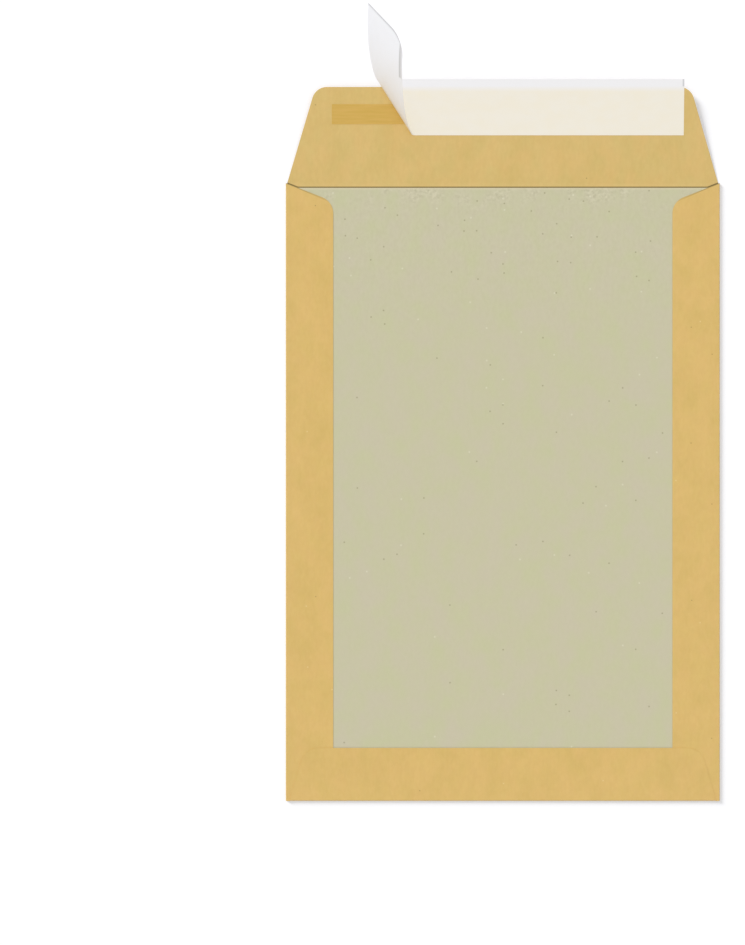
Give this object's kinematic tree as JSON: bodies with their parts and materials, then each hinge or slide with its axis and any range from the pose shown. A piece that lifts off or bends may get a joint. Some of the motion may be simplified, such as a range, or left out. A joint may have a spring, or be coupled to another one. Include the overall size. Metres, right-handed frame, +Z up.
{
  "type": "board-backed envelope",
  "caption": "C4 board-backed envelope of kraft paper with a greyboard back, its closing flap open and the release liner of its self-seal adhesive half peeled off.",
  "frame": {"origin": "middle of the front panel's outer face, which the envelope lies on, at the middle of its width and halfway between its bottom fold and the crease of the closing flap", "axes": "+X to the right seen from above, +Y towards the closing flap, +Z up, out of the board back"},
  "size_m": [0.229, 0.403, 0.0605],
  "materials": {
    "kraft": "matte",
    "greyboard": "matte",
    "adhesive": "satin",
    "liner": "satin",
    "seam_glue": "satin"
  },
  "bodies": {
    "root": {"kraft_sheet": "kraft", "back_board": "greyboard", "adhesive_strip": "adhesive", "release_liner": "liner", "seam_glue_left": "seam_glue", "seam_glue_right": "seam_glue", "seam_glue_bottom": "seam_glue"}
  },
  "joints": []
}
